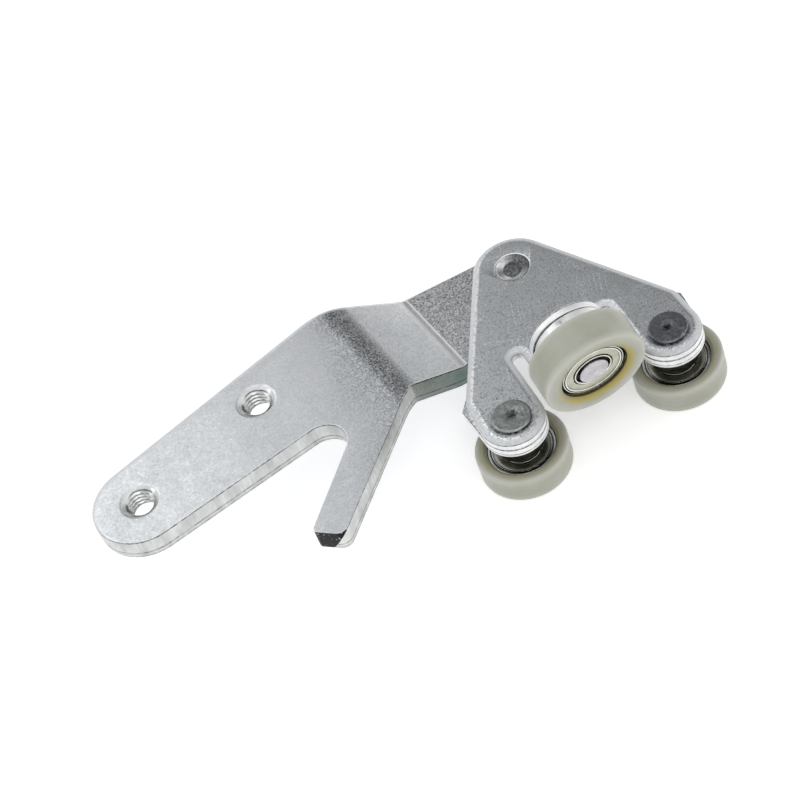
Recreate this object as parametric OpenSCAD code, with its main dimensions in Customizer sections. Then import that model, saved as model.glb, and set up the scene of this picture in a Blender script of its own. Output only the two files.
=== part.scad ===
// Sliding door roller: a joggled steel arm that bolts to the door, and a swinging carrier on its far
// end that holds two guide rollers and one load roller, each on its own sealed ball bearing.
// Millimetres. The origin is on the axis of the first threaded hole, halfway through the arm's plate.
// +Z is square to that plate and +X runs along the two threaded holes towards the carrier.

/* [Arm] */
// Thickness of the arm plate
arm_t = 6.4; // [5.4:0.2:7]
// Distance between the two threaded holes
hole_pitch = 40; // [34:1:44]
// Major diameter of the thread in both holes
thread_d = 8; // [6:1:8]
// Diameter of the countersink at the upper mouth of the threaded holes
countersink_d = 10.5; // [9.5:0.1:11.5]
// Radius of the round end of the finger
finger_r = 13; // [12:0.5:14]
// Radius of the arm's far end, around the pivot
arm_end_r = 9.2; // [9:0.1:11]
// How far the joggle drops the far flat below the finger
joggle_drop = 10; // [8:0.5:11]
// Distance between the two bend lines of the joggle, seen from above
joggle_run = 18; // [17:0.5:20]
// Slant of the bend lines, away from square to the finger
bend_slant = 9.2; // [0:0.2:12]

/* [Carrier] */
// Thickness of the top plate and of its upright tab
plate_t = 2.8; // [2.4:0.1:3]
// Thickness of the doubler under each lobe of the top plate
doubler_t = 2.8; // [2:0.1:3]
// Turn of the carrier about the pivot
carrier_angle = -16.1; // [-17:0.1:30]
// Half the distance between the two guide rollers
guide_half = 23.1; // [22.5:0.1:24]
// Distance from the pivot to the line through the guide rollers
guide_reach = 44.1; // [42.5:0.1:45]
// Tilt of the load roller's axle below the plane of the top plate
load_tilt = 10.5; // [6:0.5:12]

/* [Rollers] */
// Outer diameter of the guide rollers
guide_d = 24.6; // [23:0.2:26]
// Width of the guide rollers
guide_w = 8; // [7:0.1:8.5]
// Outer diameter of the load roller
load_d = 28.4; // [26:0.2:29]
// Width of the load roller
load_w = 9.8; // [9:0.1:10]

/* [Bearing] */
// Bore of the ball bearings
bearing_bore = 6; // [5:0.5:6]
// Outer diameter of the ball bearings
bearing_d = 19; // [19:0.5:20]
// Width of the ball bearings
bearing_w = 6; // [6:0.5:7]
// Number of balls in each bearing
ball_count = 7; // [6:1:7]

/* [Hidden] */

$fn = 96;
arc_step = 6;            // largest turn between two points of a rounded corner

zinc = "#b9bdc2";
zinc_dark = "#9a9fa5";
nylon = "#dfe0d6";
bearing_steel = "#c9ccd1";
brass_tone = "#b08d57";

// ---- Arm ----
pivot = [114.9, -16.7];                  // pivot axis, seen from above
neck_top = [67.5, 10];                   // upper edge: finger edge meets neck edge
crotch = [61, -21.7];                    // finger's lower edge meets the prong
crotch_r = 6.2;
sink_t = 0.8;                            // depth of the countersink
lower_chamfer = 0.4;                     // at the lower mouth of the threaded holes
prong_tip = [[22.1, -43.6], [26.9, -50.9]];
prong_root = [69, -28.6];                // prong's outer edge meets the neck
neck_low = [86, -28.6];                  // neck's lower edge meets the far flat
bend_start = 70.9;                       // first bend line, measured square to the bends
bend_r1 = 10;                            // inner radius of the first bend, on the lower face
bend_r2 = 3;                             // inner radius of the second bend, on the upper face
bend_angle = atan(joggle_drop / joggle_run);
face = arm_t / 2;                        // upper face of the finger
far_top = face - joggle_drop;            // upper face of the far flat
bush_r = 6;                              // outer radius of the pivot bush

// ---- Carrier ----
play = 0.2;                              // gap between the arm and the top plate
plate_bottom = far_top + play;
plate_top = plate_bottom + plate_t;
plate_end_r = 10.8;                      // top plate around the pivot
lobe_r = 8.6;                            // round end of each lobe
lobe_skew = 0.4;                         // the left lobe reaches this much further, the right less
shoulder = [31, 33.4];                  // outer corner of a lobe, from the pivot
doubler_corner = [32.4, 33];
doubler_edge = 30;                       // start of the doublers, from the pivot
slot_top = 26.5;                         // top of the slots beside the tab
slot_r = 1.5;
tab_half = 10.3;                         // half the width of the tab
tab_x = -0.9;                            // the tab's centre, from the middle of the plate
load_x = -0.6;                           // the load roller's axle, from the middle of the plate
tab_start = 31.6;                        // where the tab starts to bend
tab_bend_r = 2.5;                        // inner radius of the tab's bend
tab_bend = 90 - load_tilt;
tab_rise = 8.83;                         // straight part of the tab, up to the axle

// ---- Pivot ----
pin_r = 5;
pin_fit = 0.05;                          // radial clearance of the pin in its bush
pin_neck_r = 4;                          // pin where it is riveted into the top plate
pin_dish_r = 4.7;
washer_t = 0.8;
washer_gap = 0.1;
washer_r = 8;
pin_head_t = 1.6;
pin_head_r = 7;

// ---- Axles ----
axle_neck_r = 4;                         // axle where it passes the plates
axle_body_r = 4.7;                       // axle next to its bearing
guide_flange = [7, 4.2];                 // radius and thickness of the axle's flange
load_flange = [10, 3.6];
rivet_r = 5.3;
rivet_h = 0.7;
axle_tip_r = 4.05;
load_tip_h = 0.5;
guide_tip_h = 0.7;
standoff = 2.6;                          // flange to bearing

// ---- Bearing ----
bore_r = bearing_bore / 2;
ball_r = 1.75;
pitch_r = 6.45;
race_play = 0.04;                        // gap between a ball and its grooves
inner_land_r = 5.3;
outer_land_r = 7.6;
shield_t = 0.3;
shield_gap = 0.15;                       // between a shield and the inner ring
shield_inset = 0.25;
cage_w = 4.6;
cage_r = [6.05, 6.85];
ring_chamfer = 0.3;

// ---- Tyres ----
guide_fillet = 1.2;
load_fillet = 0.5;
guide_recess = (guide_w - bearing_w) / 2;
load_front = 1.5;                        // load tyre in front of its bearing
dish_w = 2;                              // sloping dish around the load roller's bearing

// Height of the outer face of a guide roller's bearing
guide_face = plate_bottom - doubler_t - guide_flange[1] - standoff - bearing_w;
// Centre of the load roller's bearing face, measured from the pivot in the carrier's own frame
tab_foot = [tab_start + tab_bend_r * sin(tab_bend), plate_top + tab_bend_r * (1 - cos(tab_bend))];
load_stack = plate_t + load_flange[1] + standoff + bearing_w;
load_face = tab_foot + tab_rise * [cos(tab_bend), sin(tab_bend)]
    + load_stack * [sin(tab_bend), -cos(tab_bend)];

// ---- Outline helpers ----
function unit(v) = v / norm(v);
function polar(r, a) = r * [cos(a), sin(a)];

// Points on an arc about c, from angle a0 to angle a1
function arc(c, r, a0, a1) =
    let (steps = ceil(abs(a1 - a0) / arc_step))
    [for (i = [0:steps]) c + polar(r, a0 + (a1 - a0) * i / steps)];

// The arc of radius r that rounds the corner b between its neighbours a and c
function rounded(a, b, c, r) =
    let (u = unit(a - b), v = unit(c - b),
         half = acos(u * v) / 2,
         turn = (u.x * v.y > u.y * v.x ? -1 : 1) * (180 - 2 * half),
         centre = b + unit(u + v) * r / sin(half),
         start = b + u * r / tan(half) - centre,
         from = atan2(start.y, start.x))
    arc(centre, r, from, from + turn);

// Angle at which a line from point p touches a circle, on its left (side 1) or right (side -1)
function touch(c, r, p, side) =
    let (d = p - c) atan2(d.y, d.x) + side * acos(r / norm(d));

function mirrored(points) = [for (i = [len(points) - 1:-1:0]) [-points[i].x, points[i].y]];

// ---- Arm ----
module arm_outline() {
    finger = [touch([0, 0], finger_r, neck_top, 1), touch([0, 0], finger_r, crotch, -1) + 360];
    far = [touch(pivot, arm_end_r, neck_low, 1), touch(pivot, arm_end_r, neck_top, -1)];
    finger_low = polar(finger_r, finger[1]);
    finger_high = polar(finger_r, finger[0]);
    far_low = pivot + polar(arm_end_r, far[0]);
    far_high = pivot + polar(arm_end_r, far[1]);
    polygon(concat(
        arc([0, 0], finger_r, finger[0], finger[1]),
        rounded(finger_low, crotch, prong_tip[0], crotch_r),
        rounded(crotch, prong_tip[0], prong_tip[1], 1.3),
        rounded(prong_tip[0], prong_tip[1], prong_root, 2.8),
        rounded(prong_tip[1], prong_root, neck_low, 3),
        rounded(prong_root, neck_low, far_low, 10),
        arc(pivot, arm_end_r, far[0], far[1]),
        rounded(far_high, neck_top, finger_high, 25)));
}

// Side view of the plate with its joggle: the first bend line is at X = 0, the upper face at Y = 0
module joggle_profile() {
    bend_1 = [-(bend_r1 + arm_t) * tan(bend_angle / 2), -bend_r1 - arm_t];
    bend_2 = [joggle_run + bend_r2 * tan(bend_angle / 2), bend_r2 - joggle_drop];
    before = -100;
    after = 80;
    polygon(concat(
        [[before, 0]],
        arc(bend_1, bend_r1 + arm_t, 90, 90 - bend_angle),
        arc(bend_2, bend_r2, 270 - bend_angle, 270),
        [[after, -joggle_drop], [after, -joggle_drop - arm_t]],
        arc(bend_2, bend_r2 + arm_t, 270, 270 - bend_angle),
        arc(bend_1, bend_r1, 90 - bend_angle, 90),
        [[before, -arm_t]]));
}

// One threaded hole with its countersink and the small chamfer below, to be cut away
module threaded_hole() {
    r = thread_d / 2;
    sink = countersink_d / 2 - r;
    rotate_extrude()
        polygon([
            [0, -arm_t - 1], [r + lower_chamfer + 1, -arm_t - 1], [r, lower_chamfer - arm_t],
            [r, -sink_t], [r + sink + sink / sink_t, 1], [0, 1]]);
}

module arm_bracket() {
    color(zinc)
        difference() {
            intersection() {
                rotate([0, 0, -bend_slant])
                    translate([bend_start, 80, face])
                        rotate([90, 0, 0])
                            linear_extrude(160)
                                joggle_profile();
                translate([0, 0, -60])
                    linear_extrude(80)
                        arm_outline();
            }
            for (x = [0, hole_pitch])
                translate([x, 0, face])
                    threaded_hole();
            translate([pivot.x, pivot.y, far_top - arm_t - 1])
                cylinder(h = arm_t + 2, r = bush_r);
        }
}

// ---- Pivot ----
module pivot_bush() {
    color(brass_tone)
        translate([pivot.x, pivot.y, far_top - arm_t])
            difference() {
                cylinder(h = arm_t, r = bush_r);
                translate([0, 0, -1])
                    cylinder(h = arm_t + 2, r = pin_r + pin_fit);
            }
}

module pivot_washer() {
    color(zinc)
        translate([pivot.x, pivot.y, far_top - arm_t - washer_gap - washer_t])
            difference() {
                cylinder(h = washer_t, r = washer_r);
                translate([0, 0, -1])
                    cylinder(h = washer_t + 2, r = pin_r);
            }
}

// Headed pin: its neck is riveted into the top plate, with a dished end and a domed centre
module pivot_pin() {
    head_top = far_top - arm_t - washer_gap - washer_t;
    dish = 0.9;
    color(zinc_dark)
        translate([pivot.x, pivot.y, 0])
            rotate_extrude()
                polygon(concat(
                    [[0, head_top - pin_head_t], [pin_head_r - 0.5, head_top - pin_head_t],
                     [pin_head_r, head_top - pin_head_t + 0.5], [pin_head_r, head_top],
                     [pin_r, head_top], [pin_r, plate_bottom], [pin_neck_r, plate_bottom],
                     [pin_neck_r, plate_top - (pin_dish_r - pin_neck_r)], [pin_dish_r, plate_top],
                     [pin_dish_r - 0.35, plate_top], [2.6, plate_top - dish]],
                    [for (a = [0:15:90]) [2.2 * cos(a), plate_top - dish + 0.5 * sin(a)]]));
}

// ---- Carrier plates ----
module on_carrier() {
    translate([pivot.x, pivot.y, 0])
        rotate([0, 0, carrier_angle])
            children();
}

// Centre of a lobe as if it were the right one: side is -1 for the left lobe and 1 for the right
function lobe(side) = [guide_half, side * lobe_skew - guide_reach];

// Half the outline of the top plate, down from the pivot end and back up to the tab
function plate_half(side) =
    let (corner = [shoulder.x, -shoulder.y],
         edge = touch([0, 0], plate_end_r, corner, 1),
         inner = guide_half - lobe_r,
         tab_edge = tab_half + side * tab_x)
    concat(
        arc([0, 0], plate_end_r, 90, edge),
        rounded(polar(plate_end_r, edge), corner, lobe(side) + [lobe_r, 0], 3),
        arc(lobe(side), lobe_r, 0, -180),
        rounded([inner, lobe(side).y], [inner, -slot_top], [tab_edge, -slot_top], slot_r),
        rounded([inner, -slot_top], [tab_edge, -slot_top], [tab_edge, -tab_start], slot_r),
        [[tab_edge, -tab_start]]);

module top_plate() {
    dish = pin_dish_r - pin_neck_r;
    color(zinc)
        on_carrier()
            difference() {
                union() {
                    translate([0, 0, plate_bottom])
                        linear_extrude(plate_t)
                            polygon(concat(plate_half(1), mirrored(plate_half(-1))));
                    tab();
                }
                rotate_extrude()
                    polygon([
                        [0, plate_bottom - 1], [pin_neck_r, plate_bottom - 1],
                        [pin_neck_r, plate_top - dish], [pin_dish_r + 1, plate_top + 1],
                        [0, plate_top + 1]]);
                for (side = [-1, 1])
                    translate([side * lobe(side).x, lobe(side).y, plate_bottom - 1])
                        cylinder(h = plate_t + 2, r = axle_neck_r);
                on_load_axis()
                    translate([0, 0, -load_stack - 1])
                        cylinder(h = plate_t + 2, r = axle_neck_r);
            }
}

// The tab that is bent up from the top plate for the load roller's axle
module tab() {
    bend_centre = [tab_start, plate_top + tab_bend_r];
    along = [cos(tab_bend), sin(tab_bend)];
    height = tab_rise + tab_half + 1;
    intersection() {
        translate([tab_x - tab_half, 0, 0])
            rotate([90, 0, 90])
                linear_extrude(2 * tab_half)
                    mirror([1, 0])
                        polygon(concat(
                            [[tab_start - 1, plate_top]],
                            arc(bend_centre, tab_bend_r, -90, tab_bend - 90),
                            [tab_foot + height * along,
                             tab_foot + height * along + plate_t * [along.y, -along.x]],
                            arc(bend_centre, tab_bend_r + plate_t, tab_bend - 90, -90),
                            [[tab_start - 1, plate_bottom]]));
        on_load_axis() {
            translate([tab_x - load_x, 0, -load_stack - 5])
                cylinder(h = 20, r = tab_half);
            translate([tab_x - load_x - tab_half - 1, -30, -load_stack - 15])
                cube([2 * tab_half + 2, 30, 40]);
        }
    }
}

// The second layer of sheet under one lobe of the top plate
module doubler(side) {
    inner = guide_half - lobe_r;
    corner = [doubler_corner.x, -doubler_corner.y];
    color(zinc)
        on_carrier()
            mirror([side < 0 ? 1 : 0, 0, 0])
                difference() {
                    translate([0, 0, plate_bottom - doubler_t])
                        linear_extrude(doubler_t)
                            polygon(concat(
                                [[inner, -doubler_edge], [doubler_corner.x - 2.5, -doubler_edge]],
                                [corner],
                                arc(lobe(side), lobe_r, 0, -180)));
                    translate([lobe(side).x, lobe(side).y, plate_bottom - doubler_t - 1])
                        cylinder(h = doubler_t + 2, r = axle_neck_r);
                }
}

module left_doubler() { doubler(-1); }
module right_doubler() { doubler(1); }

// ---- Roller stations: +Z points out of the bearing's outer face ----
module on_guide_axis(side) {
    on_carrier()
        translate([side * lobe(side).x, lobe(side).y, guide_face])
            rotate([180, 0, 0])
                children();
}

// In the carrier's own frame
module on_load_axis() {
    translate([load_x, -load_face.x, load_face.y])
        rotate([90 + load_tilt, 0, 0])
            children();
}

module at_station(station) {
    if (station == "load")
        on_carrier() on_load_axis() children();
    else
        on_guide_axis(station == "left" ? -1 : 1) children();
}

// Flanged axle: riveted through the plates at its back, and over the inner ring at its front
module axle(station) {
    is_load = station == "load";
    flange = is_load ? load_flange : guide_flange;
    grip = is_load ? plate_t : plate_t + doubler_t;
    tip_h = is_load ? load_tip_h : guide_tip_h;
    flange_z = -bearing_w - standoff;
    grip_z = flange_z - flange[1];
    back_z = grip_z - grip;
    color(zinc_dark)
        at_station(station)
            difference() {
                rotate_extrude()
                    polygon([
                        [0, back_z - rivet_h], [rivet_r - 0.6, back_z - rivet_h],
                        [rivet_r, back_z - rivet_h + 0.4], [rivet_r, back_z],
                        [axle_neck_r, back_z], [axle_neck_r, grip_z],
                        [flange[0] - 0.3, grip_z], [flange[0], grip_z + 0.3],
                        [flange[0], flange_z - 0.3], [flange[0] - 0.3, flange_z],
                        [axle_body_r, flange_z], [axle_body_r, -bearing_w],
                        [bore_r, -bearing_w], [bore_r, 0],
                        [axle_tip_r, 0], [axle_tip_r, tip_h - 0.2], [axle_tip_r - 0.2, tip_h],
                        [0, tip_h]]);
                translate([0, 0, back_z - rivet_h - 0.1])
                    cylinder(h = 0.9, r1 = 1.5, r2 = 0.3);
            }
}

// Groove for the balls, as a ring to be cut away
module ball_groove() {
    translate([0, 0, -bearing_w / 2])
        rotate_extrude()
            translate([pitch_r, 0])
                circle(r = ball_r + race_play, $fn = 48);
}

// Plain ring with a small chamfer at each end of the surface that is on show
module ring(r_in, r_out, chamfer_in, chamfer_out) {
    rotate_extrude()
        polygon([
            [r_in + chamfer_in, -bearing_w], [r_out - chamfer_out, -bearing_w],
            [r_out, -bearing_w + chamfer_out], [r_out, -chamfer_out],
            [r_out - chamfer_out, 0], [r_in + chamfer_in, 0],
            [r_in, -chamfer_in], [r_in, -bearing_w + chamfer_in]]);
}

module inner_ring(station) {
    color(bearing_steel)
        at_station(station)
            difference() {
                ring(bore_r, inner_land_r, ring_chamfer, 0);
                ball_groove();
            }
}

module outer_ring(station) {
    color(bearing_steel)
        at_station(station)
            difference() {
                ring(outer_land_r, bearing_d / 2, 0, ring_chamfer);
                ball_groove();
            }
}

module balls(station) {
    color(bearing_steel)
        at_station(station)
            for (i = [0:ball_count - 1])
                rotate([0, 0, 360 * i / ball_count])
                    translate([pitch_r, 0, -bearing_w / 2])
                        sphere(r = ball_r, $fn = 48);
}

// A thin band with a window for each ball
module cage(station) {
    window = 2 * asin((ball_r + race_play) / pitch_r);
    color(brass_tone)
        at_station(station)
            translate([0, 0, -bearing_w / 2])
                difference() {
                    rotate_extrude()
                        translate([cage_r[0], -cage_w / 2])
                            square([cage_r[1] - cage_r[0], cage_w]);
                    for (i = [0:ball_count - 1])
                        rotate([0, 0, 360 * i / ball_count - window / 2])
                            rotate_extrude(angle = window)
                                translate([cage_r[0] - 0.5, -ball_r - race_play])
                                    square([cage_r[1] - cage_r[0] + 1, 2 * (ball_r + race_play)]);
                }
}

// The two thin discs that close the bearing, held in the outer ring
module shields(station) {
    color(bearing_steel)
        at_station(station)
            for (z = [-bearing_w + shield_inset, -shield_inset - shield_t])
                translate([0, 0, z])
                    difference() {
                        cylinder(h = shield_t, r = outer_land_r);
                        translate([0, 0, -1])
                            cylinder(h = shield_t + 2, r = inner_land_r + shield_gap);
                    }
}

module tyre(station) {
    is_load = station == "load";
    r = (is_load ? load_d : guide_d) / 2;
    front = is_load ? load_front : guide_recess;
    back = front - (is_load ? load_w : guide_w);
    seat = bearing_d / 2;
    fillet = is_load ? load_fillet : guide_fillet;
    dish = is_load ? dish_w : 0.4;
    color(nylon)
        at_station(station)
            rotate_extrude()
                polygon(concat(
                    [[seat, 0], [seat, -bearing_w], [seat + 0.4, back]],
                    arc([r - fillet, back + fillet], fillet, -90, 0),
                    arc([r - fillet, front - fillet], fillet, 0, 90),
                    [[seat + dish, front]]));
}

module left_axle() { axle("left"); }
module left_inner_ring() { inner_ring("left"); }
module left_balls() { balls("left"); }
module left_cage() { cage("left"); }
module left_shields() { shields("left"); }
module left_outer_ring() { outer_ring("left"); }
module left_tyre() { tyre("left"); }
module right_axle() { axle("right"); }
module right_inner_ring() { inner_ring("right"); }
module right_balls() { balls("right"); }
module right_cage() { cage("right"); }
module right_shields() { shields("right"); }
module right_outer_ring() { outer_ring("right"); }
module right_tyre() { tyre("right"); }
module load_axle() { axle("load"); }
module load_inner_ring() { inner_ring("load"); }
module load_balls() { balls("load"); }
module load_cage() { cage("load"); }
module load_shields() { shields("load"); }
module load_outer_ring() { outer_ring("load"); }
module load_tyre() { tyre("load"); }

arm_bracket();
pivot_bush();
pivot_washer();
pivot_pin();
top_plate();
left_doubler();
right_doubler();
left_axle();
left_inner_ring();
left_balls();
left_cage();
left_shields();
left_outer_ring();
left_tyre();
right_axle();
right_inner_ring();
right_balls();
right_cage();
right_shields();
right_outer_ring();
right_tyre();
load_axle();
load_inner_ring();
load_balls();
load_cage();
load_shields();
load_outer_ring();
load_tyre();
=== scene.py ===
"""Looks of the sliding door roller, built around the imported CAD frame.

Blender works in metres; the object's lengths below are in millimetres and go through MM.
The dimensions repeat those of the CAD source, which this script can't read.
"""

import math

import bmesh
import bpy
from mathutils import Matrix, Vector, noise


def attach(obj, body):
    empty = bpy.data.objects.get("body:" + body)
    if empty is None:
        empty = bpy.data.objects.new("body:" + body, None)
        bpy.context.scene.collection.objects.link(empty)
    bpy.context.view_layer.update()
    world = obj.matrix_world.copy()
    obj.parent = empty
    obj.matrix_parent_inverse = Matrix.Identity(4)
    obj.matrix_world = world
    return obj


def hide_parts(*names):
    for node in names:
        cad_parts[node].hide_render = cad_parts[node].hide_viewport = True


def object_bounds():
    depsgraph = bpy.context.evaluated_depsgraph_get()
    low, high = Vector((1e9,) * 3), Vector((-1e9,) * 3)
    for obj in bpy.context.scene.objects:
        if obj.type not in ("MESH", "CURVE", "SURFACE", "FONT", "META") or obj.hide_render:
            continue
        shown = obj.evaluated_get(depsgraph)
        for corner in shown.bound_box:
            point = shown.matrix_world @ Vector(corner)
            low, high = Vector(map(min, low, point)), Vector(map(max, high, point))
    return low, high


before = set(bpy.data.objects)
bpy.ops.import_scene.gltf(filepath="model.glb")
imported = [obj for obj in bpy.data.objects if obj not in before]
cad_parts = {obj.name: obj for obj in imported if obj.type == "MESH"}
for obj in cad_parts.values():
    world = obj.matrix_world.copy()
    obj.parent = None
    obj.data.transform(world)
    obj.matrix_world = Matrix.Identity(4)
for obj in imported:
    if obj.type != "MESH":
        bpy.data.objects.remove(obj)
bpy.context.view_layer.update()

MM = 0.001
STATIONS = ("left", "right", "load")

# ---- Dimensions, as in the CAD source ----
# Arm
ARM_T, FINGER_R, ARM_END_R, HOLE_PITCH = 6.4, 13.0, 9.2, 40.0
THREAD_R, THREAD_PITCH, SINK_R, SINK_T = 4.0, 1.25, 5.25, 0.8
FACE = ARM_T / 2
JOGGLE_DROP, JOGGLE_RUN, BEND_SLANT = 10.0, 18.0, math.radians(9.2)
BEND_START, BEND_R1, BEND_R2 = 70.9, 10.0, 3.0
BEND = math.atan(JOGGLE_DROP / JOGGLE_RUN)
PIVOT = Vector((114.9, -16.7))
NECK_TOP, CROTCH = Vector((67.5, 10)), Vector((61, -21.7))
PRONG_TIP = (Vector((22.1, -43.6)), Vector((26.9, -50.9)))
PRONG_ROOT, NECK_LOW = Vector((69, -28.6)), Vector((86, -28.6))
BUSH_R = 6.0

# Carrier plates
FAR_TOP = FACE - JOGGLE_DROP
PLATE_T, DOUBLER_T = 2.8, 2.8
PLATE_BOTTOM = FAR_TOP + 0.2
PLATE_TOP = PLATE_BOTTOM + PLATE_T
PLATE_END_R, LOBE_R, LOBE_SKEW = 10.8, 8.6, 0.4
CARRIER_ANGLE = math.radians(-16.1)
GUIDE_HALF, GUIDE_REACH = 23.1, 44.1
SHOULDER, DOUBLER_CORNER, DOUBLER_EDGE = (31, 33.4), (32.4, 33), 30.0
SLOT_TOP, SLOT_R, TAB_HALF, TAB_START, TAB_BEND_R = 26.5, 1.5, 10.3, 31.6, 2.5
TAB_X, LOAD_X = -0.9, -0.6
LOAD_TILT = math.radians(10.5)
TAB_BEND, TAB_RISE = math.pi / 2 - LOAD_TILT, 8.83

# Pivot rivet, axles, bearings and tyres
PIN_R, PIN_NECK_R, PIN_DISH_R, PIN_HEAD_R, PIN_HEAD_T = 5.0, 4.0, 4.7, 7.0, 1.6
WASHER_T, WASHER_GAP = 0.8, 0.1
NECK_R, BODY_R, RIVET_R, RIVET_H, TIP_R = 4.0, 4.7, 5.3, 0.7, 4.05
FLANGE = {"guide": (7.0, 4.2), "load": (10.0, 3.6)}
STANDOFF = 2.6
TIP_H = {"guide": 0.7, "load": 0.5}
BEARING_W, BEARING_R, BORE_R = 6.0, 9.5, 3.0
PITCH_R, GROOVE_R, INNER_LAND, OUTER_LAND = 6.45, 1.79, 5.3, 7.6
TYRE_R = {"guide": 12.3, "load": 14.2}
TYRE_W = {"guide": 8.0, "load": 9.8}
TYRE_FRONT = {"guide": 1.0, "load": 1.5}

# ---- Details that only the looks have ----
ROLL_T = 0.68  # depth of the arm's rolled upper edge
ROLLED_ROWS = 1.5  # rows above this depth follow the roll
LEAST_ROLL, MOST_ROLL = 0.16, 1.3
CREASE_STEP = 0.3  # half the width of a light line along the second bend
THREAD_DEPTH, THREAD_PHASE = 0.68, 0.45
LEAD_IN, LEAD_IN_SPREAD = math.radians(65), 1.15  # where the countersink is narrowest
SMUDGE_ANGLE, SMUDGE_SPREAD = math.radians(101), 0.17  # on the load axle's flange
# The load tyre's painted yellow glow is strongest at this angle.
GLOW_ANGLE = math.radians(-60)  # where the load tyre is yellowest
HOLE_SEGMENTS = 96


# ---- Outline helpers, in millimetres and radians ----
def clamp(value, high=1.0):
    return min(high, max(0, value))


def turns(count):
    """Angles evenly round the circle."""
    return [2 * math.pi * i / count for i in range(count)]


def polar(radius, angle):
    return Vector((radius * math.cos(angle), radius * math.sin(angle)))


def arc(centre, radius, start, end, step=math.radians(4)):
    steps = max(1, math.ceil(abs(end - start) / step))
    angles = [start + (end - start) * i / steps for i in range(steps + 1)]
    return [Vector(centre) + polar(radius, angle) for angle in angles]


def rounded(a, b, c, radius, step=math.radians(4)):
    """The arc that rounds the corner b between its neighbours a and c."""
    a, b, c = Vector(a), Vector(b), Vector(c)
    u, v = (a - b).normalized(), (c - b).normalized()
    half = math.acos(max(-1, min(1, u.dot(v)))) / 2
    turn = (-1 if u.x * v.y > u.y * v.x else 1) * (math.pi - 2 * half)
    centre = b + (u + v).normalized() * radius / math.sin(half)
    start = b + u * radius / math.tan(half) - centre
    angle = math.atan2(start.y, start.x)
    return arc(centre, radius, angle, angle + turn, step)


def touch(centre, radius, point, side):
    """Angle at which a line from the point touches the circle."""
    d = Vector(point) - Vector(centre)
    return math.atan2(d.y, d.x) + side * math.acos(radius / d.length)


def inset(points, distance, scale=None):
    """The closed anticlockwise outline moved inwards. scale(p) is a factor on the distance at p."""
    moved = []
    for i, p in enumerate(points):
        before = (p - points[i - 1]).normalized()
        after = (points[(i + 1) % len(points)] - p).normalized()
        normal = Vector((-before.y, before.x))
        bisector = (normal + Vector((-after.y, after.x))).normalized()
        step = distance * (scale(p) if scale else 1)
        moved.append(p + bisector * step / max(0.4, bisector.dot(normal)))
    return moved


def tidy(points, least=0.02):
    """Drops repeated points and makes the outline run anticlockwise."""
    kept = [p for i, p in enumerate(points) if (p - points[i - 1]).length > least]
    area = sum(p.x * kept[i - 1].y - p.y * kept[i - 1].x for i, p in enumerate(kept))
    return kept if area < 0 else kept[::-1]


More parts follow.
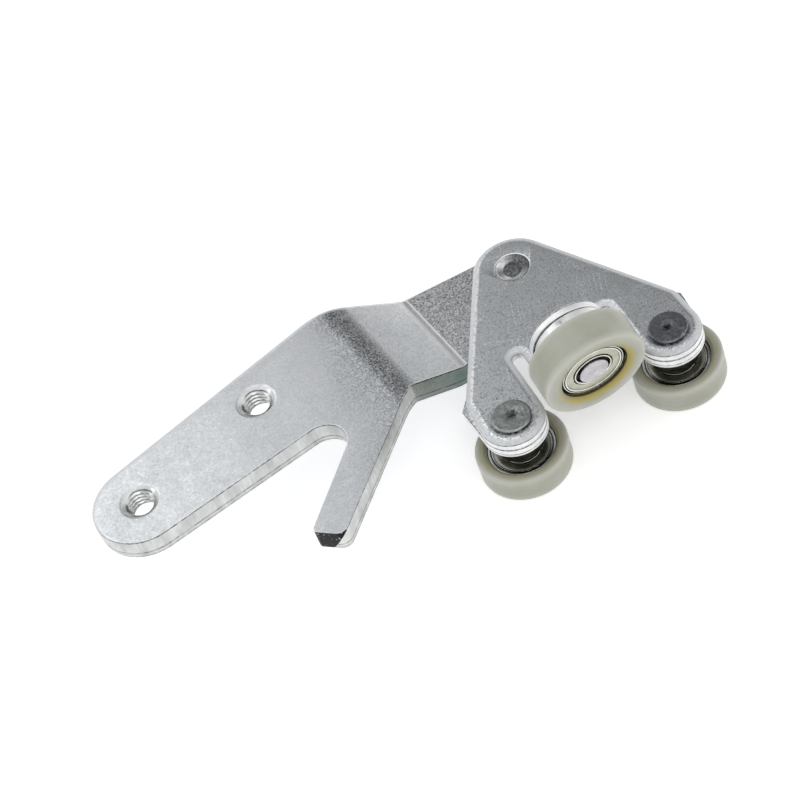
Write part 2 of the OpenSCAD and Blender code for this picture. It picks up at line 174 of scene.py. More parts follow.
# ---- Node materials ----
class Finish:
    """Builds one procedural material around a Principled shader; textures work in millimetres."""

    def __init__(self, name, **shader):
        self.material = bpy.data.materials.new(name)
        self.material.use_nodes = True
        self.tree = self.material.node_tree
        self.tree.nodes.clear()
        output = self.node("OutputMaterial")
        self.shader = self.node("BsdfPrincipled", shader)
        self.tree.links.new(self.shader.outputs[0], output.inputs["Surface"])
        self.coordinates = self.node("TexCoord").outputs["Object"]

    def node(self, kind, values=None, **settings):
        made = self.tree.nodes.new("ShaderNode" + kind)
        for key, value in settings.items():
            setattr(made, key, value)
        for key, value in (values or {}).items():
            if isinstance(value, bpy.types.NodeSocket):
                self.tree.links.new(value, made.inputs[key])
            else:
                made.inputs[key].default_value = value
        return made

    def place(self, stretch=(1, 1, 1), turn=(0, 0, 0)):
        turned = self.node("Mapping", {"Vector": self.coordinates, "Rotation": turn}).outputs[0]
        scale = [s / MM for s in stretch]
        return self.node("Mapping", {"Vector": turned, "Scale": scale}).outputs[0]

    def noise(self, scale, detail=3, stretch=(1, 1, 1), turn=(0, 0, 0), roughness=0.55):
        values = {
            "Vector": self.place(stretch, turn), "Scale": scale,
            "Detail": detail, "Roughness": roughness,
        }
        return self.node("TexNoise", values).outputs["Fac"]

    def cells(self, scale, feature="DISTANCE_TO_EDGE", stretch=(1, 1, 1), turn=(0, 0, 0)):
        values = {"Vector": self.place(stretch, turn), "Scale": scale}
        return self.node("TexVoronoi", values, feature=feature).outputs["Distance"]

    def dots(self, scale, radius, edge, turn=(0, 0, 0)):
        """Scattered dots as a 0 to 1 mask, fading out from the radius to the edge."""
        return self.remap(self.cells(scale, feature="F1", turn=turn), radius, edge, 1, 0)

    def remap(self, value, low, high, to_low=0, to_high=1):
        values = {
            "Value": value, "From Min": low, "From Max": high, "To Min": to_low, "To Max": to_high,
        }
        return self.node("MapRange", values).outputs[0]

    def maths(self, operation, a, b):
        return self.node("Math", {0: a, 1: b}, operation=operation).outputs[0]

    def plus(self, a, b):
        return self.maths("ADD", a, b)

    def times(self, a, b):
        return self.maths("MULTIPLY", a, b)

    def mix(self, factor, a, b):
        values = {0: factor, 6: a, 7: b}
        return self.node("Mix", values, data_type="RGBA").outputs[2]

    def bump(self, layers):
        """layers: (height, depth in mm) pairs, stacked."""
        normal = None
        for height, depth in layers:
            values = {"Height": height, "Distance": depth * MM, "Strength": 1.0}
            if normal is not None:
                values["Normal"] = normal
            normal = self.node("Bump", values).outputs[0]
        self.set(Normal=normal)

    def set(self, **links):
        for key, value in links.items():
            self.tree.links.new(value, self.shader.inputs[key.replace("_", " ")])

    def attribute(self, name):
        return self.node("Attribute", attribute_name=name).outputs["Fac"]

    def ragged_shade_and_smudge(self, scale, least):
        """The attribute of painted shade and smudge, broken up by noise down to the least share."""
        return self.times(self.attribute("shade_and_smudge"), self.remap(self.noise(scale, 3), 0.35, 0.6, least, 1))

    def scratches(self, angle, density, width):
        """Short straight scratches along one direction, as a 0 to 1 mask."""
        lines = self.cells(density, stretch=(1, 0.045, 0.3), turn=(0, 0, angle))
        thin = self.remap(lines, 0.0, width, 1, 0)
        gate = self.remap(self.noise(0.16, 2, turn=(0.3, 0.2, angle)), 0.54, 0.62)
        return self.times(thin, gate)


def rgb(red, green, blue):
    return (red, green, blue, 1)


PIT, COARSE_GRAIN = rgb(0.06, 0.065, 0.075), rgb(0.17, 0.18, 0.19)
GLINT, SCRATCH = rgb(0.95, 0.95, 0.95), rgb(0.92, 0.93, 0.94)
CREASE, WORN = rgb(0.97, 0.98, 0.98), rgb(0.74, 0.75, 0.76)
# Dark rough colours of the rivets' dull dimples, also used as painted shade on one side of the pivot's
# dish.
DULL_AND_SHADE = (rgb(0.006, 0.007, 0.008), rgb(0.15, 0.155, 0.165))
# Colours of painted shade in gaps, grooves and corners; the wall's one also makes the smudge on the load
# axle's flange.
ZINC_GAP_SHADE, WALL_SHADE_AND_SMUDGE = rgb(0.035, 0.04, 0.04), rgb(0.03, 0.035, 0.035)
WALL_SHADE = (rgb(0.05, 0.10, 0.09), rgb(0.30, 0.40, 0.36))
# Painted shade in steel grooves and gaps, and in the nylon's corner next to the bearing.
STEEL_GAP_SHADE, NYLON_CORNER_SHADE = rgb(0.008, 0.008, 0.008), rgb(0.02, 0.018, 0.012)
BLACK = (rgb(0.003, 0.003, 0.003), rgb(0.022, 0.022, 0.024))
PLATING_SPECK = rgb(0.6, 0.61, 0.62)
IVORY = (rgb(0.37, 0.374, 0.306), rgb(0.425, 0.43, 0.368))
# The yellow is painted light coming through the thin nylon.
IVORY_RIM, IVORY_GLOW = rgb(0.53, 0.535, 0.485), rgb(0.42, 0.35, 0.07)
IVORY_SPECK = rgb(0.2, 0.18, 0.12)


def zinc(name, light, dark, rough=(0.26, 0.42), grain=0.006, speckle=0.4, pits=0.0, coarse=0.0):
    """Zinc plating: fine crystals, cloudy patches, pits, coarse grain and a few bright scratches.

    Vertex attributes: low darkens the tone as painted shade, pitted gives pits and coarse grain,
    crease and worn lighten, dull_and_shade makes a dark rough dome and painted shade on one side,
    and shade_and_smudge is painted shade in gaps and grooves."""
    f = Finish(name, Metallic=1.0)
    crystals, mottle, clouds = f.noise(1.5, 2, roughness=0.6), f.noise(0.55, 3), f.noise(0.06, 3)
    tone = f.plus(f.remap(crystals, 0.36, 0.64, -speckle, speckle), f.remap(clouds, 0.3, 0.7, 0.3, 0.7))
    tone = f.plus(tone, f.remap(mottle, 0.3, 0.7, -0.2, 0.2))
    tone = f.maths("SUBTRACT", tone, f.attribute("low"))
    colour = f.mix(f.remap(tone, 0, 1), dark, light)
    roughness = f.remap(tone, 0, 1, rough[1], rough[0])

    pitted = f.attribute("pitted")
    if coarse:
        fine, amount = f.noise(2.1, 2, roughness=0.65), f.remap(pitted, 0, 0.45)
        dark_grains = f.times(f.remap(fine, 0.42, 0.6), amount)
        light_grains = f.times(f.remap(fine, 0.4, 0.55, 1, 0), amount)
        colour = f.mix(f.times(dark_grains, coarse), colour, COARSE_GRAIN)
        roughness = f.plus(roughness, f.times(light_grains, 0.09))
    if pits:
        gate = f.remap(f.plus(f.times(f.noise(0.3, 2), 0.6), pitted), 0.42, 0.72)
        colour = f.mix(f.times(f.times(f.dots(1.05, 0.16, 0.28), gate), pits), colour, PIT)
        glints = f.dots(0.9, 0.1, 0.2, turn=(1, 0.4, 0.2))
        colour = f.mix(f.times(f.times(glints, gate), 0.6), colour, GLINT)
    scratches = f.maths("MAXIMUM", f.scratches(0.6, 0.9, 0.012), f.scratches(-0.9, 0.7, 0.010))
    colour = f.mix(f.times(scratches, 0.75), colour, SCRATCH)

    crease, worn, dull_and_shade = f.attribute("crease"), f.attribute("worn"), f.attribute("dull_and_shade")
    colour = f.mix(crease, colour, CREASE)
    colour = f.mix(worn, colour, WORN)
    colour = f.mix(dull_and_shade, colour, f.mix(f.remap(crystals, 0.36, 0.64), *DULL_AND_SHADE))
    colour = f.mix(f.ragged_shade_and_smudge(0.9, 0.35), colour, ZINC_GAP_SHADE)
    rougher = f.times(f.plus(crease, f.maths("MAXIMUM", worn, dull_and_shade)), 0.45)
    f.set(Base_Color=colour, Roughness=f.plus(roughness, rougher))

    uneven = f.maths("MAXIMUM", f.maths("SUBTRACT", 1.0, worn), 0.1)
    relief = [(f.noise(0.22, 2), 0.014), (mottle, 0.005), (crystals, grain), (scratches, -0.012)]
    f.bump([(f.times(height, uneven), depth) for height, depth in relief])
    return f.material


def sheared(name, light, dark, rough=(0.25, 0.42)):
    """A blanked edge: faint streaks through the thickness, ragged dark lines of painted shade in
    grooves and gaps, with a smudge on the load axle's flange, and where the shade attribute says
    so a green passivation darkened with painted shadow."""
    f = Finish(name, Metallic=1.0)
    streaks = f.noise(1.5, 4, stretch=(1, 1, 0.12), roughness=0.65)
    patches = f.noise(0.25, 3, stretch=(1, 1, 0.6))
    tone = f.plus(f.remap(streaks, 0.3, 0.7, -0.3, 0.3), f.remap(patches, 0.3, 0.7))
    colour = f.mix(f.remap(tone, 0, 1), dark, light)
    colour = f.mix(f.attribute("shade"), colour, f.mix(patches, *WALL_SHADE))
    colour = f.mix(f.ragged_shade_and_smudge(0.7, 0.25), colour, WALL_SHADE_AND_SMUDGE)
    f.set(Base_Color=colour, Roughness=f.remap(tone, 0, 1, rough[1], rough[0]))
    f.bump([(patches, 0.05), (streaks, 0.015), (f.noise(4, 3), 0.006)])
    return f.material


def polished(name, light, dark, rough, lines):
    """Ground steel: tight grain and cloudy stains. lines is the grain's depth in mm."""
    f = Finish(name, Metallic=1.0)
    grain, stain_and_glow = f.noise(3.5, 3), f.noise(0.35, 3)
    colour = f.mix(f.remap(stain_and_glow, 0.35, 0.65), dark, light)
    f.set(
        Base_Color=f.mix(f.attribute("shade_and_smudge"), colour, STEEL_GAP_SHADE),
        Roughness=f.remap(f.plus(grain, stain_and_glow), 0.7, 1.3, *rough),
    )
    f.bump([(stain_and_glow, lines * 2), (grain, lines)])
    return f.material


def cut_end(name):
    """Black sheared end, glossy, with a few bright specks of the plating."""
    f = Finish(name, Metallic=1.0)
    grain, specks = f.noise(1.1, 3), f.dots(0.95, 0.14, 0.26)
    colour = f.mix(grain, *BLACK)
    colour = f.mix(f.times(specks, f.remap(grain, 0.44, 0.56)), colour, PLATING_SPECK)
    f.set(Base_Color=colour, Roughness=f.remap(grain, 0.3, 0.7, 0.18, 0.4))
    f.bump([(grain, 0.05), (specks, 0.02)])
    return f.material


def nylon(name):
    """Ivory polyamide: soft light inside, faint clouds and a few dark specks.

    Vertex attributes: rim is lighter, yellow is painted light coming through the thin nylon, and
    shade_and_smudge is black painted shade."""
    subsurface = {
        "Subsurface Weight": 0.35, "Subsurface Scale": 0.002, "Subsurface Radius": (1.0, 0.85, 0.5),
    }
    f = Finish(name, IOR=1.53, **subsurface)
    clouds, grain = f.noise(0.12, 3), f.noise(1.2, 3)
    colour = f.mix(f.remap(clouds, 0.35, 0.65), *IVORY)
    colour = f.mix(f.attribute("rim"), colour, IVORY_RIM)
    colour = f.mix(f.attribute("yellow"), colour, IVORY_GLOW)
    colour = f.mix(f.attribute("shade_and_smudge"), colour, NYLON_CORNER_SHADE)
    specks = f.times(f.dots(0.33, 0.035, 0.06), f.remap(f.noise(0.23, 1), 0.56, 0.6))
    colour = f.mix(f.times(specks, 0.6), colour, IVORY_SPECK)
    f.set(Base_Color=colour, Roughness=f.remap(f.plus(clouds, grain), 0.7, 1.3, 0.3, 0.5))
    f.bump([(clouds, 0.05), (grain, 0.006), (f.noise(6, 2), 0.002)])
    return f.material


ZINC = zinc(
    "zinc_face", rgb(0.83, 0.85, 0.87), rgb(0.585, 0.61, 0.632),
    grain=0.013, speckle=0.28, pits=0.6, coarse=0.7,
)
ZINC_PLATE = zinc("zinc_plate", rgb(0.91, 0.94, 0.965), rgb(0.42, 0.445, 0.465), speckle=0.6, pits=0.8)
WALL = sheared("zinc_wall", rgb(0.64, 0.65, 0.64), rgb(0.46, 0.475, 0.465))
BRIGHT = sheared("zinc_bright", rgb(0.93, 0.935, 0.94), rgb(0.80, 0.81, 0.82), rough=(0.4, 0.55))
THREAD = polished("thread_zinc", rgb(0.76, 0.77, 0.765), rgb(0.58, 0.60, 0.59), (0.22, 0.36), 0.002)
BLACK_END = cut_end("black_end")
RIVET = zinc("rivet_face", rgb(0.46, 0.49, 0.48), rgb(0.22, 0.245, 0.24), rough=(0.28, 0.42))
RIVET_DARK = zinc(
    "rivet_dark", rgb(0.27, 0.28, 0.305), rgb(0.12, 0.125, 0.14),
    rough=(0.27, 0.42), speckle=0.45, pits=0.3,
)
PIN_FACE = zinc(
    "pin_face", rgb(0.82, 0.83, 0.84), rgb(0.50, 0.51, 0.52), rough=(0.2, 0.32), speckle=0.3,
)
# Dark ground steel; its green tint is a painted reflection of the shaded parts around it.
AXLE = polished("axle_dark", rgb(0.09, 0.10, 0.08), rgb(0.03, 0.036, 0.028), (0.12, 0.26), 0.002)
TIP = polished("axle_tip", rgb(0.60, 0.585, 0.61), rgb(0.46, 0.45, 0.475), (0.22, 0.38), 0.006)
CHROME = polished("ring_chrome", rgb(0.80, 0.80, 0.78), rgb(0.66, 0.66, 0.62), (0.08, 0.16), 0.001)
# Near black: painted shade in the bearings' grooves and gaps.
GAP_SHADE = polished("bearing_gap_shade", rgb(0.02, 0.021, 0.018), rgb(0.01, 0.011, 0.009), (0.3, 0.5), 0.004)
# Its ivory tint is a painted reflection of the tyre.
SHIELD = polished("shield_steel", rgb(0.55, 0.55, 0.46), rgb(0.44, 0.44, 0.35), (0.3, 0.42), 0.002)
BRASS = polished("cage_brass", rgb(0.55, 0.40, 0.16), rgb(0.42, 0.28, 0.10), (0.25, 0.4), 0.004)
BRONZE = polished("bush_bronze", rgb(0.45, 0.30, 0.16), rgb(0.30, 0.19, 0.09), (0.3, 0.5), 0.006)
NYLON = nylon("nylon_ivory")

# Material slots of the plates, of the axles, and of bearing rings
FLAT, EDGE, BORE, CUT_END = range(4)
SHAFT, HEAD, NOSE, FLANGE_FACE = range(4)
RING, SHADED_GROOVE = range(2)


# ---- Mesh helpers ----
def mesh_from(name, bm):
    mesh = bpy.data.meshes.new(name)
    bm.to_mesh(mesh)
    bm.free()
    return mesh


def add_object(name, data):
    made = bpy.data.objects.new(name, data)
    bpy.context.scene.collection.objects.link(made)
    return made


def shade_smooth(mesh, sharp):
    """Smooth shading, except along edges sharper than the angle in degrees."""
    mesh.polygons.foreach_set("use_smooth", [True] * len(mesh.polygons))
    mesh.set_sharp_from_angle(angle=math.radians(sharp))


def finish_mesh(name, bm, materials, body, nodes):
    """Makes the piece from the mesh, in metres. It rides on the body and replaces the CAD nodes."""
    bmesh.ops.recalc_face_normals(bm, faces=bm.faces)
    mesh = mesh_from(name, bm)
    mesh.transform(Matrix.Scale(MM, 4))
    for m in materials:
        mesh.materials.append(m)
    shade_smooth(mesh, 35)
    piece = add_object(name, mesh)
    smooth = piece.modifiers.new("even_normals", "WEIGHTED_NORMAL")
    smooth.keep_sharp = True
    smooth.weight = 80
    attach(piece, body)
    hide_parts(*nodes)


def attributes(bm, *names):
    """New float attributes of the vertices, which the materials read."""
    return [bm.verts.layers.float.new(name) for name in names]


def ring_of(bm, points, layer, value):
    """A ring of vertices; value is one number, or one for each point."""
    ring = [bm.verts.new(p) for p in points]
    for i, v in enumerate(ring):
        v[layer] = value[i] if isinstance(value, list) else value
    return ring


def skin(bm, rings, material):
    """Quads between consecutive closed rings of equal length."""
    for a, b in zip(rings, rings[1:]):
        for i in range(len(a)):
            face = bm.faces.new((a[i - 1], a[i], b[i], b[i - 1]))
            face.material_index = material


def fill(bm, loops, normal):
    """Fills the flat area bounded by closed loops of vertices; inner loops stay open as holes."""
    edges = [bm.edges.get((loop[i - 1], loop[i])) for loop in loops for i in range(len(loop))]
    bmesh.ops.triangle_fill(bm, use_beauty=True, edges=edges, normal=normal)


def plate(outline, edge_profile, holes, scale=None):
    """A flat blanked plate with its top at z = 0.

    edge_profile: rows of (inset, depth, painted shade in grooves and gaps, is it wall) from top to
    bottom.
    holes: lists of (ring of 3-D points, painted shade, material) from top to bottom.
    scale(p): how far the upper edge is rolled over at an outline point."""
    bm = bmesh.new()
    shade_and_smudge = bm.verts.layers.float.new("shade_and_smudge")
    rings, walls = [], []
    for distance, depth, gap_shade, wall in edge_profile:
        loop = inset(outline, distance, scale) if distance else outline
        rolled = scale and depth < ROLLED_ROWS
        raised = [min(depth, ROLL_T) * (1 - scale(p)) if rolled else 0 for p in outline]
        points = [(p.x, p.y, up - depth) for p, up in zip(loop, raised)]
        rings.append(ring_of(bm, points, shade_and_smudge, gap_shade))
        walls.append(wall)
    for k in range(len(rings) - 1):
        skin(bm, rings[k:k + 2], EDGE if walls[k] and walls[k + 1] else FLAT)
    tops, bottoms = [rings[0]], [rings[-1]]
    for hole in holes:
        hole_rings = [ring_of(bm, points, shade_and_smudge, gap_shade) for points, gap_shade, _ in hole]
        for k in range(len(hole_rings) - 1):
            skin(bm, hole_rings[k:k + 2], hole[k][2])
        tops.append(hole_rings[0])
        bottoms.append(hole_rings[-1])
    fill(bm, tops, (0, 0, 1))
    fill(bm, bottoms, (0, 0, -1))
    return bm


def cut_lines(bm, normal, distances):
    """Adds edges across the mesh where upright planes cross it, so that it can bend there."""
    for d in distances:
        geometry = bm.verts[:] + bm.edges[:] + bm.faces[:]
        bmesh.ops.bisect_plane(bm, geom=geometry, dist=1e-5, plane_co=normal * d, plane_no=normal)


def circle(centre, radius, depth):
    return [(centre[0] + radius * math.cos(a), centre[1] + radius * math.sin(a), -depth)
            for a in turns(HOLE_SEGMENTS)]


def plain_hole(centre, radius, thickness, rim):
    """Rings of a plain hole, with its upper rim rounded."""
    rows = [(radius + rim, 0), (radius + rim * 0.3, rim * 0.3), (radius, rim),
            (radius, thickness - 0.1), (radius + 0.1, thickness)]
    return [(circle(centre, r, d), 0, EDGE) for r, d in rows]


# ---- Arm ----
def arm_outline():
    high = touch((0, 0), FINGER_R, NECK_TOP, 1)
    low = touch((0, 0), FINGER_R, CROTCH, -1) + 2 * math.pi
    far_low, far_high = touch(PIVOT, ARM_END_R, NECK_LOW, 1), touch(PIVOT, ARM_END_R, NECK_TOP, -1)
    root = PRONG_TIP[1] + (PRONG_ROOT - PRONG_TIP[1]) * 0.5
    points = arc((0, 0), FINGER_R, high, low)
    points += rounded(polar(FINGER_R, low), CROTCH, PRONG_TIP[0], 6.2)
    points += rounded(CROTCH, *PRONG_TIP, 1.3, math.radians(9))
    points += rounded(*PRONG_TIP, PRONG_ROOT, 2.8, math.radians(6))
    points += rounded(root, PRONG_ROOT, NECK_LOW, 3)
    points += rounded(PRONG_ROOT, NECK_LOW, PIVOT + polar(ARM_END_R, far_low), 10)
    points += arc(PIVOT, ARM_END_R, far_low, far_high)
    points += rounded(PIVOT + polar(ARM_END_R, far_high), NECK_TOP, polar(FINGER_R, high), 25)
    return tidy(points)


def joggle_height(s, radius_1, radius_2, start, end):
    """Height of one face of the arm at distance s past the first bend line."""
    centre_1 = (-(BEND_R1 + ARM_T) * math.tan(BEND / 2), -BEND_R1 - ARM_T)
    centre_2 = (JOGGLE_RUN + BEND_R2 * math.tan(BEND / 2), BEND_R2 - JOGGLE_DROP)
    d1, d2 = s - centre_1[0], centre_2[0] - s
    if d1 <= 0:
        return start
    if d1 < radius_1 * math.sin(BEND):
        return centre_1[1] + math.sqrt(radius_1 ** 2 - d1 ** 2)
    if d2 <= 0:
        return end
    if d2 < radius_2 * math.sin(BEND):
        return centre_2[1] - math.sqrt(radius_2 ** 2 - d2 ** 2)
    slope_start = (centre_1[0] + radius_1 * math.sin(BEND), centre_1[1] + radius_1 * math.cos(BEND))
    return slope_start[1] - (s - slope_start[0]) * math.tan(BEND)


def threaded_hole(x):
    """Rings of a countersunk hole with a real helical thread. Its grooves are darker with painted shade.
    """
    rows = [(circle((x, 0), SINK_R + 0.35, 0), 0, FLAT), (circle((x, 0), SINK_R + 0.05, 0.06), 0, FLAT)]
    start, bottom, steps = 0.12, ARM_T - 0.4, 60
    for k in range(steps + 1):
        depth = start + (bottom - start) * k / steps
        ring, gap_shade = [], []
        for i, a in enumerate(turns(HOLE_SEGMENTS)):
            phase = (depth / THREAD_PITCH + i / HOLE_SEGMENTS + THREAD_PHASE) % 1
            crest = clamp((0.5 - abs(phase - 0.5)) * 2.9 - 0.22)
            away = abs((a - LEAD_IN + math.pi) % (2 * math.pi) - math.pi)
            sink = SINK_T * (1 - 0.8 * max(0, 1 - (away / LEAD_IN_SPREAD) ** 2))
            cone = THREAD_R + max(0, (SINK_R - THREAD_R) * (1 - depth / sink))
            fade = max(0, min(1, (depth - sink) / 0.15, (bottom - depth) / 0.2))
            r = cone - THREAD_DEPTH * crest * fade
            ring.append((x + r * math.cos(a), r * math.sin(a), -depth))
            gap_shade.append(0.8 * (1 - crest) ** 2 * fade)
        rows.append((ring, gap_shade, BORE if k else FLAT))
    rows.append((circle((x, 0), THREAD_R + 0.4, ARM_T), 0, BORE))
    return rows


# The prong's cut end is black up to a slanted edge, a plane through END_POINT.
END_ALONG = (PRONG_TIP[1] - PRONG_TIP[0]).normalized()
END_OUT = Vector((END_ALONG.y, -END_ALONG.x))
END_SLOPE = Vector((END_ALONG.x, END_ALONG.y, -0.75)).normalized()
END_REACH, END_DEPTH = 8.7, 0.7
END_POINT = (PRONG_TIP[0] + END_ALONG * END_REACH).to_3d() - Vector((0, 0, END_DEPTH))


def split_end(bm):
    """Adds the slanted edge to the walls near the prong's tip. The arm is still flat."""
    def is_end_wall(face):
        centre = face.calc_center_median()
        close = (centre.xy - PRONG_TIP[0]).length < 14
        return close and face.normal.z < 0.9 and abs(centre.z) > 0.2 and len(face.verts) == 4

    walls = [f for f in bm.faces if is_end_wall(f)]
    parts = set(walls) | {e for f in walls for e in f.edges} | {v for f in walls for v in f.verts}
    bmesh.ops.bisect_plane(bm, geom=list(parts), dist=1e-5, plane_co=END_POINT, plane_no=END_SLOPE)


def blacken_end(bm):
    """Gives the end's walls their material, up to the slanted edge. The top face is at FACE now."""
    for f in bm.faces:
        centre = f.calc_center_median()
        offset = centre.xy - PRONG_TIP[0]
        on_end = offset.length < 12 and offset.dot(END_OUT) > -2.2 and centre.z < FACE - 0.1
        past = centre - END_POINT - Vector((0, 0, FACE))
        if on_end and past.dot(END_SLOPE) < 0:
            f.material_index = CUT_END


def build_arm():
    # The third column is painted shade, in the crease under the rolled edge and in the grooves of the
    # wall.
    edge_profile = [
        (1.5, 0, 0, False), (1.15, 0.04, 0, False), (0.75, 0.13, 0, False), (0.42, 0.27, 0, False),
        (0.18, 0.44, 0, False), (0.05, 0.6, 0.5, False), (0.03, ROLL_T, 1, True), (0.0, 0.95, 1, True),
        (0.0, 1.15, 0, True), (0.0, ARM_T - 2.0, 0, True), (0.02, ARM_T - 1.8, 0.7, True),
        (0.07, ARM_T - 1.55, 0.7, True), (0.09, ARM_T - 1.35, 0, True), (0.12, ARM_T - 0.8, 0, True),
        (0.16, ARM_T - 0.5, 0.5, True), (0.26, ARM_T - 0.14, 0.3, True), (0.5, ARM_T, 0, False),
    ]
    holes = [threaded_hole(x) for x in (0, HOLE_PITCH)]
    holes.append(plain_hole(PIVOT, BUSH_R, ARM_T, 0.2))
    tip = (PRONG_TIP[0] + PRONG_TIP[1]) / 2

    def roll(p):
        """The upper edge is rolled on the neck's top side, and nearly square by the crotch and tip."""
        by_side, by_tip = (p.y + 8) / 14, ((p - tip).length - 5) / 4
        return min(MOST_ROLL, max(LEAST_ROLL, by_side), max(LEAST_ROLL, by_tip))

    bm = plate(arm_outline(), edge_profile, holes, roll)
    split_end(bm)

    along = Vector((math.cos(-BEND_SLANT), math.sin(-BEND_SLANT), 0))
    first = -(BEND_R1 + ARM_T) * math.tan(BEND / 2)
    last = JOGGLE_RUN + BEND_R2 * math.tan(BEND / 2)
    lines = [first + (BEND_R1 + ARM_T) * math.sin(BEND) * i / 12 for i in range(13)]
    lines += [last - BEND_R2 * math.sin(BEND) * i / 6 for i in range(7)]
    lines += [last - (BEND_R2 + ARM_T) * math.sin(BEND) * i / 8 for i in range(3, 9)]
    creases = [last - 2.3, last + 0.1]
    lines += [mark + step for mark in creases for step in (-CREASE_STEP, 0, CREASE_STEP)]
    cut_lines(bm, along, sorted(BEND_START + s for s in lines))

    band = first + 3.5  # middle of the grainy band along the first bend
    crease, shade, pitted, worn, low = attributes(bm, "crease", "shade", "pitted", "worn", "low")
    for v in bm.verts:
        s = v.co.dot(along) - BEND_START
        # Painted shade: the face's tone darkens towards the prong, a painted falloff of its reflected
        # light, and lightens past the first bend.
        to_prong = (FINGER_R - v.co.y) / (FINGER_R - PRONG_TIP[1].y)
        v[low] = 0.6 * to_prong - 0.12 - 0.2 * clamp(s / 6)
        v[worn] = clamp((-v.co.z - 0.02) * 5, 0.8) if v.co.y > 0 else 0
        # Painted shadow: the walls' green turns darker towards the far flat, next to the carrier.
        v[shade] = clamp((s + 1) / 20, 0.85)
        if v.co.z > -0.2:
            line = max(0, 1 - min(abs(s - mark) for mark in creases) / CREASE_STEP)
            v[crease] = max(0.65 * line, 0.3 if creases[0] < s < creases[1] else 0)
            band_half = 9 if s < band else 6
            on_far_flat = s > creases[1] + 0.2
            v[pitted] = 0.4 if on_far_flat else max(0, 0.6 * (1 - abs(s - band) / band_half))
        top = joggle_height(s, BEND_R1 + ARM_T, BEND_R2, 0, -JOGGLE_DROP)
        bottom = joggle_height(s, BEND_R1, BEND_R2 + ARM_T, -ARM_T, -JOGGLE_DROP - ARM_T)
        v.co.z = FACE + top + (bottom - top) * (-v.co.z / ARM_T)
    blacken_end(bm)
    finish_mesh("arm_plate", bm, [ZINC, WALL, THREAD, BLACK_END], "arm", ["arm_bracket"])


# ---- Carrier plates ----
def on_carrier():
    return Matrix.Translation((PIVOT.x, PIVOT.y, 0)) @ Matrix.Rotation(CARRIER_ANGLE, 4, "Z")


def lobe(side):
    """A lobe's centre, with x as on the right-hand side."""
    return Vector((GUIDE_HALF, side * LOBE_SKEW - GUIDE_REACH))


def plate_half(side):
    """Half of the plate's outline, with x as on the right-hand side."""
    corner = Vector((SHOULDER[0], -SHOULDER[1]))
    edge = touch((0, 0), PLATE_END_R, corner, 1)
    inner, tab_edge = GUIDE_HALF - LOBE_R, TAB_HALF + side * TAB_X
    centre = lobe(side)
    slot = [(inner, centre.y), (inner, -SLOT_TOP), (tab_edge, -SLOT_TOP), (tab_edge, -TAB_START)]
    points = arc((0, 0), PLATE_END_R, math.pi / 2, edge)
    points += rounded(polar(PLATE_END_R, edge), corner, centre + Vector((LOBE_R, 0)), 3)
    points += arc(centre, LOBE_R, 0, -math.pi)
    points += rounded(*slot[:3], SLOT_R, math.radians(9))
    points += rounded(*slot[1:], SLOT_R, math.radians(9))
    return points + [Vector((tab_edge, -TAB_START - 0.3))]


def rivet_hole(centre):
    """Rings around a rivet's head, with painted shade on its lower side, and the hole itself."""
    below = [max(0, -math.sin(a + 0.35)) ** 0.5 for a in turns(HOLE_SEGMENTS)]
    rows = [(6.3, 0), (RIVET_R + 0.75, 0), (RIVET_R + 0.45, below), (RIVET_R - 0.1, below)]
    around = [(circle(centre, r, 0), gap_shade, FLAT) for r, gap_shade in rows]
    return around + plain_hole(centre, NECK_R, PLATE_T, 0.2)


